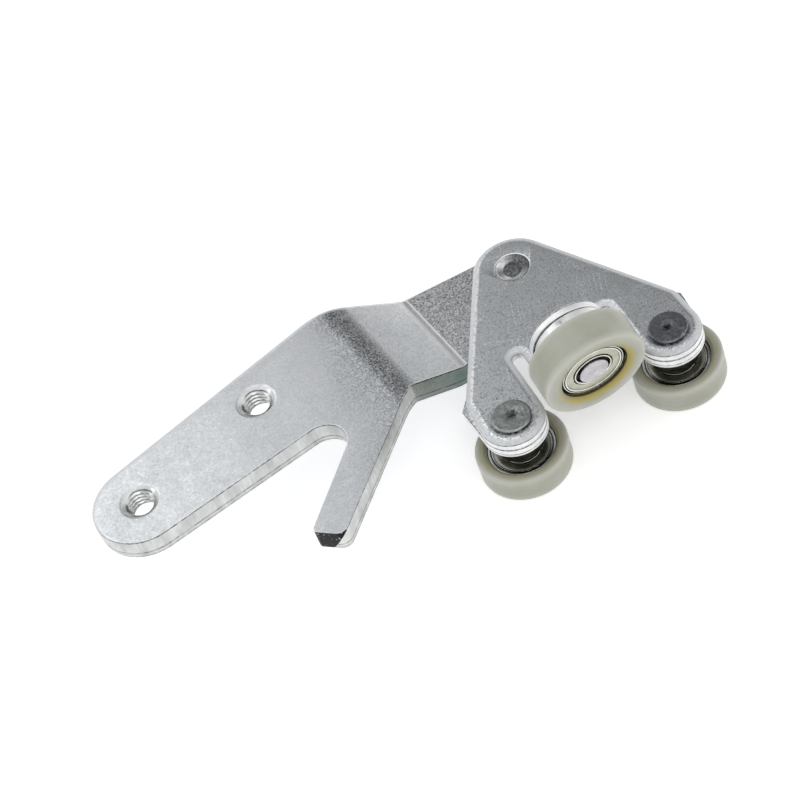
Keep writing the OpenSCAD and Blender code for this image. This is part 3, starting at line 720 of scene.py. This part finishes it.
def build_top_plate():
    edge_profile = [
        # The third column is painted shade, in the groove under the rolled edge and along the bottom
        # edge.
        (2.1, 0, 0, False), (1.6, 0.05, 0, False), (1.1, 0.16, 0, False), (0.68, 0.31, 0, False),
        (0.34, 0.50, 0, False), (0.12, 0.72, 0, False), (0.05, 0.84, 0.8, True), (0.16, 0.94, 1, True),
        (0.04, 1.04, 0.6, True), (0.0, 1.12, 0, True), (0.0, PLATE_T - 0.4, 0, True),
        (0.10, PLATE_T - 0.18, 0, True), (0.4, PLATE_T, 1, False),
    ]
    bend_length = TAB_BEND * (TAB_BEND_R + PLATE_T / 2)
    end = -(TAB_START + bend_length + TAB_RISE)
    right = plate_half(1)
    left = [Vector((-p.x, p.y)) for p in reversed(plate_half(-1))]
    outline = tidy(right + arc((TAB_X, end), TAB_HALF, 0, -math.pi) + left)
    rivets = [Vector((side * lobe(side).x, lobe(side).y)) for side in (-1, 1)]
    holes = [rivet_hole(centre) for centre in rivets]
    holes.append(plain_hole((LOAD_X, end), NECK_R, PLATE_T, 0.2))
    dish = PIN_DISH_R - PIN_NECK_R
    rows = [(PIN_DISH_R + 0.25, 0), (PIN_DISH_R, 0.12), (PIN_NECK_R, dish + 0.1), (PIN_NECK_R, PLATE_T)]
    holes.append([(circle((0, 0), r, d), 0, EDGE) for r, d in rows])
    bm = plate(outline, edge_profile, holes)
    cut_lines(bm, Vector((0, -1, 0)), [TAB_START + bend_length * i / 12 for i in range(13)])

    pitted, worn = attributes(bm, "pitted", "worn")
    for v in bm.verts:
        near = min((v.co.xy - centre).length for centre in rivets)
        v[pitted] = 0.16 + 0.22 * max(0, 1 - max(0, near - 7) / 9)
        v[worn] = clamp((-v.co.z - 0.01) * 9, 0.95)
        u, depth = -v.co.y - TAB_START, -v.co.z
        if abs(v.co.x) < TAB_HALF + 1 and u > 0:
            turn = min(u / bend_length, 1) * TAB_BEND
            rest = max(0, u - bend_length)
            reach = (TAB_BEND_R + depth) * math.sin(turn) + rest * math.cos(turn)
            rise = TAB_BEND_R - (TAB_BEND_R + depth) * math.cos(turn) + rest * math.sin(turn)
            v.co.y, v.co.z = -TAB_START - reach, rise
    bm.transform(on_carrier() @ Matrix.Translation((0, 0, PLATE_TOP)))
    finish_mesh("carrier_plate", bm, [ZINC_PLATE, BRIGHT], "carrier", ["top_plate"])


def build_doubler(name, side):
    inner, centre = GUIDE_HALF - LOBE_R, lobe(side)
    outline = [Vector((inner, -DOUBLER_EDGE)), Vector((DOUBLER_CORNER[0] - 2.5, -DOUBLER_EDGE)),
               Vector((DOUBLER_CORNER[0], -DOUBLER_CORNER[1]))] + arc(centre, LOBE_R, 0, -math.pi)
    outline = tidy([Vector((side * p.x, p.y)) for p in outline])
    # The third column is painted shade, along the top under the top plate and in the groove of the wall.
    edge_profile = [
        (0.5, 0, 0.15, False), (0.22, 0.1, 0.8, False), (0.05, 0.24, 0.4, True), (0.0, 0.36, 0, True),
        (0.0, 1.6, 0, True), (0.04, 1.68, 0.8, True), (0.16, 1.78, 1, True), (0.05, 1.88, 0.7, True),
        (0.0, 1.96, 0, True), (0.0, DOUBLER_T - 0.35, 0, True), (0.12, DOUBLER_T - 0.12, 0, True),
        (0.35, DOUBLER_T, 0.3, False),
    ]
    bm = plate(outline, edge_profile, [plain_hole((side * centre.x, centre.y), NECK_R, DOUBLER_T, 0.15)])
    bm.transform(on_carrier() @ Matrix.Translation((0, 0, PLATE_BOTTOM)))
    materials = [ZINC_PLATE, BRIGHT]
    finish_mesh(name + "_lobe_doubler", bm, materials, "carrier", [name + "_doubler"])


# ---- Turned parts ----
def soften(profile, closed):
    """Rounds each corner of a profile of (radius, height, fillet, material) rows."""
    rows = []
    n = len(profile)
    for i, (r, z, fillet, material) in enumerate(profile):
        ends = not closed and i in (0, n - 1)
        if ends or not fillet:
            rows.append((r, z, material))
            continue
        a, b, c = Vector(profile[i - 1][:2]), Vector((r, z)), Vector(profile[(i + 1) % n][:2])
        room = 0.45 * min((a - b).length, (c - b).length)
        u, v = (a - b).normalized(), (c - b).normalized()
        half = math.acos(max(-1, min(1, u.dot(v)))) / 2
        points = rounded(a, b, c, min(fillet, room * math.tan(half)), math.radians(12))
        before = profile[i - 1][3]
        rows += [(p.x, p.y, before if k < len(points) / 2 else material) for k, p in enumerate(points)]
    return rows


def lathe(bm, profile, place, closed=True, segments=128, shape=None, tints=None):
    """Adds a turned body. A profile that isn't closed starts and ends on the axis.

    shape(x, y, z): a change of height. tints: {vertex attribute: its value at (x, y, z)}.
    Both work in the body's own frame."""
    rows = soften(profile, closed)
    rings = []
    for r, z, material in rows:
        ring = []
        for a in turns(segments if r > 0 else 1):
            x, y = r * math.cos(a), r * math.sin(a)
            v = bm.verts.new(place @ Vector((x, y, z + (shape(x, y, z) if shape else 0))))
            for layer, value in (tints or {}).items():
                v[layer] = value(x, y, z)
            ring.append(v)
        rings.append(ring if r > 0 else ring * segments)
    pairs = list(zip(rows, rings, rings[1:])) + ([(rows[-1], rings[-1], rings[0])] if closed else [])
    for row, a, b in pairs:
        for i in range(segments):
            corners = []
            for v in (a[i - 1], a[i], b[i], b[i - 1]):
                if v not in corners:
                    corners.append(v)
            if len(corners) > 2:
                bm.faces.new(corners).material_index = row[2]


def at_load_station():
    """The load roller's frame: its origin is the bearing's front face, and z is the axle's axis."""
    stack = PLATE_T + FLANGE["load"][1] + STANDOFF + BEARING_W
    reach = TAB_START + TAB_BEND_R * math.sin(TAB_BEND)
    reach += TAB_RISE * math.cos(TAB_BEND) + stack * math.sin(TAB_BEND)
    rise = PLATE_TOP + TAB_BEND_R * (1 - math.cos(TAB_BEND))
    rise += TAB_RISE * math.sin(TAB_BEND) - stack * math.cos(TAB_BEND)
    place = Matrix.Translation((LOAD_X, -reach, rise))
    return on_carrier() @ place @ Matrix.Rotation(math.pi / 2 + LOAD_TILT, 4, "X")


def at_station(station):
    if station == "load":
        return at_load_station()
    side = -1 if station == "left" else 1
    height = PLATE_BOTTOM - DOUBLER_T - FLANGE["guide"][1] - STANDOFF - BEARING_W
    place = Matrix.Translation((side * lobe(side).x, lobe(side).y, height))
    return on_carrier() @ place @ Matrix.Rotation(math.pi, 4, "X")


def hammered(seed, radius, depth, dimple, spread):
    """Height changes of a riveted head: a punched dimple off its centre in a slightly uneven face."""
    def shape(x, y, z):
        if math.hypot(x, y) > radius:
            return 0
        rough = noise.noise(Vector((x * 0.9, y * 0.9, seed))) * 0.03
        rough += noise.noise(Vector((x * 2.4, y * 2.4, seed + 5))) * 0.015
        away = math.hypot(x - dimple[0], y - dimple[1])
        fade = min(1, (radius - math.hypot(x, y)) / 0.6)
        return fade * (rough - depth * math.exp(-((away / spread) ** 2)))
    return shape


def build_axle(station):
    kind = "load" if station == "load" else "guide"
    grip = PLATE_T + (0 if kind == "load" else DOUBLER_T)
    flange_r, flange_t = FLANGE[kind]
    flange_z = -BEARING_W - STANDOFF
    grip_z = flange_z - flange_t
    back_z = grip_z - grip
    head = back_z - RIVET_H
    tip = TIP_H[kind]
    flange = FLANGE_FACE if kind == "load" else SHAFT
    profile = [(0.25 * i, head, 0, HEAD) for i in range(19)]
    profile += [
        (RIVET_R - 0.35, head, 0.25, HEAD), (RIVET_R, head + 0.35, 0.2, HEAD),
        (RIVET_R, back_z, 0, SHAFT), (NECK_R, back_z, 0, SHAFT),
        (NECK_R, grip_z, 0, flange), (flange_r, grip_z, 0.25, flange),
        (flange_r, flange_z, 0.35, flange), (BODY_R + 0.3, flange_z, 0.25, SHAFT),
        (BODY_R, flange_z + 0.4, 0.1, SHAFT), (BODY_R, -BEARING_W, 0, SHAFT),
        (BORE_R, -BEARING_W, 0, SHAFT), (BORE_R, -1.0, 0, NOSE),
        (TIP_R, -1.0, 0.05, NOSE), (TIP_R, tip, 0.16, NOSE),
        (0.9, tip, 0.2, NOSE), (0.0, tip - 0.12, 0, NOSE),
    ]
    spot = {"left": (0.45, -0.35), "right": (-0.1, -0.1), "load": (0.3, 0.3)}[station]
    dent = hammered(len(station) * 3.7, 4.9, 0.6, spot, 1.15)

    def shape(x, y, z):
        return -dent(x, y, z) if z <= head + 0.05 else 0

    def foot_shade_and_smudge(x, y, z):
        """Painted shade round the head's foot, darkest on one side, and a smudge on top of the load
        axle's flange.
        """
        if station == "load" and z > grip_z - 0.01 and math.hypot(x, y) > flange_r - 0.5:
            return 0.55 * math.exp(-(((math.atan2(y, x) - SMUDGE_ANGLE) / SMUDGE_SPREAD) ** 2))
        return max(0.25, y / RIVET_R) if head + 0.3 < z < back_z + 0.01 else 0.0

    def punched(x, y, z):
        """Dark in the head's dimple."""
        away = math.hypot(x - spot[0], y - spot[1])
        return math.exp(-((away / 1.6) ** 3)) if z <= head + 0.1 else 0.0

    bm = bmesh.new()
    shade_and_smudge, dull_and_shade = attributes(bm, "shade_and_smudge", "dull_and_shade")
    tints = {shade_and_smudge: foot_shade_and_smudge, dull_and_shade: punched}
    lathe(bm, profile, at_station(station), closed=False, segments=120, shape=shape, tints=tints)
    materials = [AXLE, RIVET_DARK if station == "right" else RIVET, TIP, BRIGHT]
    finish_mesh(station + "_stub_axle", bm, materials, "carrier", [station + "_axle"])


def groove(side):
    """Ball groove of a ring: side is 1 for the outer ring, -1 for the inner one."""
    land = OUTER_LAND if side > 0 else INNER_LAND
    half = math.acos(abs(land - PITCH_R) / GROOVE_R)
    middle = 0 if side > 0 else math.pi
    points = arc((PITCH_R, -BEARING_W / 2), GROOVE_R, middle - half, middle + half, 0.16)
    return [(p.x, p.y, 0, RING) for p in points]


def build_bearing(station):
    place, body = at_station(station), station + "_roller"
    slot_r = 8.64 if station == "load" else 8.95
    # The near black rows are painted shade, in the groove and in the slot next to the tyre.
    rim = [
        (OUTER_LAND, 0, 0.1, RING), (8.05, 0, 0.05, SHADED_GROOVE), (8.12, -0.35, 0.05, SHADED_GROOVE),
        (8.28, -0.35, 0.05, SHADED_GROOVE), (8.32, 0, 0.12, RING), (slot_r, 0, 0.12, SHADED_GROOVE),
        (slot_r + 0.08, -0.6, 0.05, SHADED_GROOVE), (BEARING_R, -0.6, 0.05, RING),
    ]
    # In the mirrored rim, each row's material is that of the row before it in the front one.
    back_rim = [(r, -BEARING_W - z, fillet, rim[max(0, k - 1)][3])
                for k, (r, z, fillet, _) in reversed(list(enumerate(rim)))]
    bm = bmesh.new()
    lathe(bm, groove(1) + rim + back_rim, place)
    rings = [CHROME, GAP_SHADE]
    finish_mesh(station + "_race_outer", bm, rings, body, [station + "_outer_ring"])

    # Its recess round the axle's tip is near black, painted shade.
    inner = [(INNER_LAND, 0, 0.12, RING)] + groove(-1) + [
        (INNER_LAND, -BEARING_W, 0.12, RING), (BORE_R + 0.3, -BEARING_W, 0.1, RING),
        (BORE_R, -BEARING_W + 0.3, 0.1, RING), (BORE_R, -1.0, 0, SHADED_GROOVE),
        (4.78, -1.0, 0.05, SHADED_GROOVE), (4.86, -0.15, 0.05, RING), (4.98, 0, 0.06, RING),
    ]
    bm = bmesh.new()
    lathe(bm, inner, place)
    finish_mesh(station + "_race_inner", bm, rings, "carrier", [station + "_inner_ring"])

    disc = [
        (5.62, -0.42, 0.03, 0), (5.66, -0.2, 0.05, 0), (6.1, -0.13, 0.1, 0), (6.9, -0.13, 0.3, 0),
        (7.45, -0.2, 0.1, 0), (7.59, -0.3, 0.05, 0), (7.59, -0.45, 0.03, 0),
    ]
    bm = bmesh.new()
    lathe(bm, disc, place)
    lathe(bm, [(r, -BEARING_W - z, fillet, m) for r, z, fillet, m in disc], place)
    finish_mesh(station + "_covers", bm, [SHIELD], body, [station + "_shields"])


def load_tyre_profile(radius, front, back):
    return [
        (BEARING_R, -0.05, 0, 0), (BEARING_R, -BEARING_W + 0.05, 0.1, 0),
        (BEARING_R + 0.35, back + 0.6, 0.3, 0), (BEARING_R + 0.7, back, 0.3, 0),
        (radius, back, 0.9, 0), (radius, back + 2.2, 0, 0),
        (radius, front - 2.0, 0, 0), (radius, front, 0.7, 0), (radius - 1.2, front, 0, 0),
        (BEARING_R + 2.2, front, 0.3, 0), (BEARING_R + 1.0, front - 0.42, 0, 0),
        (BEARING_R - 0.15, front - 0.8, 0.12, 0), (BEARING_R - 0.2, 0.35, 0, 0),
        (BEARING_R - 0.3, 0.02, 0.03, 0), (BEARING_R, 0.02, 0, 0),
    ]


def guide_tyre_profile(radius, front, back):
    lip = BEARING_R - 0.4
    return [
        (BEARING_R, -0.05, 0, 0), (BEARING_R, -BEARING_W + 0.05, 0, 0),
        (BEARING_R, -BEARING_W - 0.02, 0, 0), (lip, -BEARING_W - 0.02, 0.03, 0),
        (lip + 0.05, back + 0.75, 0.1, 0), (BEARING_R + 0.45, back + 0.12, 0.25, 0),
        (BEARING_R + 1.3, back, 0.3, 0), (radius - 0.05, back, 1.15, 0),
        (radius, back + 2.6, 0.4, 0), (radius - 0.12, back + 3.1, 0.4, 0),
        (radius - 0.08, front - 2.2, 0, 0), (radius - 0.05, front, 1.0, 0),
        (BEARING_R + 0.8, front, 0.3, 0), (lip + 0.05, front - 0.7, 0.15, 0),
        (lip, 0.02, 0.03, 0), (BEARING_R, 0.02, 0, 0),
    ]


def build_tyre(station):
    kind = "load" if station == "load" else "guide"
    radius, front = TYRE_R[kind], TYRE_FRONT[kind]
    back = front - TYRE_W[kind]
    profile = (load_tyre_profile if kind == "load" else guide_tyre_profile)(radius, front, back)

    def stain_and_glow(x, y, z):
        """Painted light coming through the thin nylon: yellow in the recess around the bearing, most of
        all on one side of the load roller's.
        """
        strength = 0.25
        if kind == "load" and z > -2:
            strength += 0.75 * clamp(0.6 + math.cos(math.atan2(y, x) - GLOW_ANGLE))
        return strength * clamp((BEARING_R + 2.1 - math.hypot(x, y)) / 1.1)

    def thin_rim(x, y, z):
        """Lighter along the two outer edges, where light comes through."""
        return max(0, 1 - (min(front - z, z - back) + radius - math.hypot(x, y)) / 1.9)

    def corner_shade(x, y, z):
        """Painted shade: black in the corner next to the load roller's bearing."""
        in_corner = kind == "load" and math.hypot(x, y) < BEARING_R
        return clamp((0.85 - abs(z)) / 0.4) if in_corner else 0

    bm = bmesh.new()
    yellow, rim, shade_and_smudge = attributes(bm, "yellow", "rim", "shade_and_smudge")
    tints = {yellow: stain_and_glow, rim: thin_rim, shade_and_smudge: corner_shade}
    lathe(bm, profile, at_station(station), segments=160, tints=tints)
    finish_mesh(station + "_nylon_tyre", bm, [NYLON], station + "_roller", [station + "_tyre"])


# ---- Pivot ----
def build_pivot_pin():
    head_top = FAR_TOP - ARM_T - WASHER_GAP - WASHER_T
    top = PLATE_TOP
    profile = [(0.2 * i, top - 0.25 - 0.0055 * i * i, 0, HEAD) for i in range(11)]
    profile += [(2.2, top - 0.8, 0.15, HEAD), (2.5, top - 0.82, 0.2, HEAD)]
    profile += [(2.5 + 0.2 * i, top - 0.82 + 0.083 * i, 0, HEAD) for i in range(1, 9)]
    profile += [
        (PIN_DISH_R - 0.3, top + 0.02, 0.12, HEAD), (PIN_DISH_R, top - 0.02, 0.1, SHAFT),
        (PIN_NECK_R, top - 0.75, 0, SHAFT), (PIN_NECK_R, PLATE_BOTTOM, 0, SHAFT),
        (PIN_R, PLATE_BOTTOM, 0, SHAFT), (PIN_R, head_top, 0, SHAFT),
        (PIN_HEAD_R, head_top, 0.1, SHAFT), (PIN_HEAD_R, head_top - PIN_HEAD_T, 0.5, SHAFT),
        (0, head_top - PIN_HEAD_T, 0, SHAFT),
    ]
    dome_r, dish_bottom = 2.55, top - 1.2

    def shape(x, y, z):
        """An uneven dome with a faint swirl, in a smoother dish."""
        if z < dish_bottom:
            return 0
        r = math.hypot(x, y)
        rough = noise.noise(Vector((x * 1.3, y * 1.3, 2.0))) * (0.06 if r < 2.3 else 0.015)
        swirl = 0.05 * math.sin(3.2 * r - 2 * math.atan2(y, x)) if r < 2.2 else 0
        return (rough + swirl) * clamp((4.3 - r) / 0.6)

    def dull_dome_and_shaded_side(x, y, z):
        """Dark on the middle dome, and painted shade on the dish's right-hand side."""
        r = math.hypot(x, y)
        if z < dish_bottom or r > 4.6:
            return 0.0
        return 0.85 if r < dome_r else 0.85 * clamp(x / r + 0.25)

    # Painted shade in the gap round the head's rim.
    def rim_shade(x, y, z):
        return 0.9 if z > top - 0.9 and math.hypot(x, y) > 4.5 else 0.0

    bm = bmesh.new()
    centre = Matrix.Translation((PIVOT.x, PIVOT.y, 0))
    dull_and_shade, shade_and_smudge = attributes(bm, "dull_and_shade", "shade_and_smudge")
    tints = {dull_and_shade: dull_dome_and_shaded_side, shade_and_smudge: rim_shade}
    lathe(bm, profile, centre, closed=False, segments=120, shape=shape, tints=tints)
    finish_mesh("pivot_rivet", bm, [AXLE, PIN_FACE], "carrier", ["pivot_pin"])


build_arm()
build_top_plate()
build_doubler("left", -1)
build_doubler("right", 1)
build_pivot_pin()
for each in STATIONS:
    build_axle(each)
    build_bearing(each)
    build_tyre(each)


# ---- CAD nodes that stay ----
def dress(node, material):
    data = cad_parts[node].data
    data.materials.clear()
    data.materials.append(material)
    shade_smooth(data, 30)


dress("pivot_bush", BRONZE)
dress("pivot_washer", WALL)
for each in STATIONS:
    dress(each + "_balls", CHROME)
    dress(each + "_cage", BRASS)


# ---- Floor, light and camera, in metres except where MM is used ----
def toward(azimuth, elevation):
    """Unit vector to a direction in degrees, with the azimuth anticlockwise from +X."""
    a, e = math.radians(azimuth), math.radians(elevation)
    return Vector((math.cos(a) * math.cos(e), math.sin(a) * math.cos(e), math.sin(e)))


def build_floor():
    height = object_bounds()[0].z - 0.2 * MM
    bm = bmesh.new()
    bmesh.ops.create_grid(bm, x_segments=8, y_segments=8, size=3.0)
    mesh = mesh_from("floor", bm)
    floor = add_object("floor", mesh)
    floor.location.z = height
    f = Finish("floor_paper", Roughness=0.9)
    f.set(Base_Color=f.mix(f.noise(0.05, 3), rgb(0.86, 0.86, 0.86), rgb(0.92, 0.92, 0.92)))
    f.shader.inputs["Emission Color"].default_value = rgb(1, 1, 1)
    f.shader.inputs["Emission Strength"].default_value = 0.4
    mesh.materials.append(f.material)


LIGHT_TARGET, LIGHT_DISTANCE = Vector((0.06, -0.025, 0)), 0.9


def area_light(name, azimuth, elevation, size, power):
    """A soft box aimed at the object."""
    data = bpy.data.lights.new(name, "AREA")
    data.shape, data.size, data.energy = "DISK", size, power
    light = add_object(name, data)
    back = toward(azimuth, elevation)
    light.location = LIGHT_TARGET + back * LIGHT_DISTANCE
    light.rotation_mode = "QUATERNION"
    light.rotation_quaternion = back.to_track_quat("Z", "Y")


def build_world():
    """A studio that is bright all round except for one dark spot, which the first bend reflects."""
    world = bpy.data.worlds.new("studio")
    bpy.context.scene.world = world
    world.use_nodes = True
    tree = world.node_tree
    tree.nodes.clear()
    kinds = ("OutputWorld", "Background", "ValToRGB", "TexCoord", "MapRange", "VectorMath")
    output, background, ramp, coordinates, spread, closeness = (
        tree.nodes.new("ShaderNode" + kind) for kind in kinds)
    closeness.operation = "DOT_PRODUCT"
    dark_spot = toward(azimuth=42, elevation=38)
    closeness.inputs[1].default_value = dark_spot
    spread.inputs["From Min"].default_value = -1
    tree.links.new(coordinates.outputs["Generated"], closeness.inputs[0])
    tree.links.new(closeness.outputs["Value"], spread.inputs["Value"])
    tree.links.new(spread.outputs[0], ramp.inputs[0])
    tree.links.new(ramp.outputs[0], background.inputs["Color"])
    tree.links.new(background.outputs[0], output.inputs[0])
    # Brightness by closeness to the dark spot, from the opposite side (0) to the spot itself (1)
    stops = [
        (0.0, 0.26), (0.3, 0.45), (0.52, 0.86), (0.8, 0.9),
        (0.93, 0.95), (0.9625, 0.45), (0.982, 0.07), (1.0, 0.03),
    ]
    while len(ramp.color_ramp.elements) < len(stops):
        ramp.color_ramp.elements.new(0.5)
    for element, (position, value) in zip(ramp.color_ramp.elements, stops):
        element.position = position
        element.color = rgb(value, value, value)


def build_camera():
    """Seen from in front and to the left, from above, with a long lens."""
    data = bpy.data.cameras.new("camera")
    data.sensor_width, data.lens = 36.0, 125.865
    data.clip_start, data.clip_end = 0.01, 20
    camera = add_object("camera", data)
    # Rotation vector from the object's frame to the camera's, whose y points down and z ahead.
    turn = Vector((2.22813553, -0.965686351, 0.0236894591))
    to_camera = Matrix.Rotation(turn.length, 3, turn)
    axes = Matrix((to_camera[0], -to_camera[1], -to_camera[2])).transposed()
    place = Vector((-131.81, -451.48, 539.22)) * MM
    camera.matrix_world = Matrix.Translation(place) @ axes.to_4x4()
    bpy.context.scene.camera = camera


build_floor()
build_world()
build_camera()
area_light("key", azimuth=250, elevation=62, size=0.6, power=0.9)
area_light("back", azimuth=97, elevation=54, size=0.5, power=0.45)
area_light("side", azimuth=140, elevation=40, size=0.45, power=0.5)
bpy.context.scene.view_settings.view_transform = "Standard"
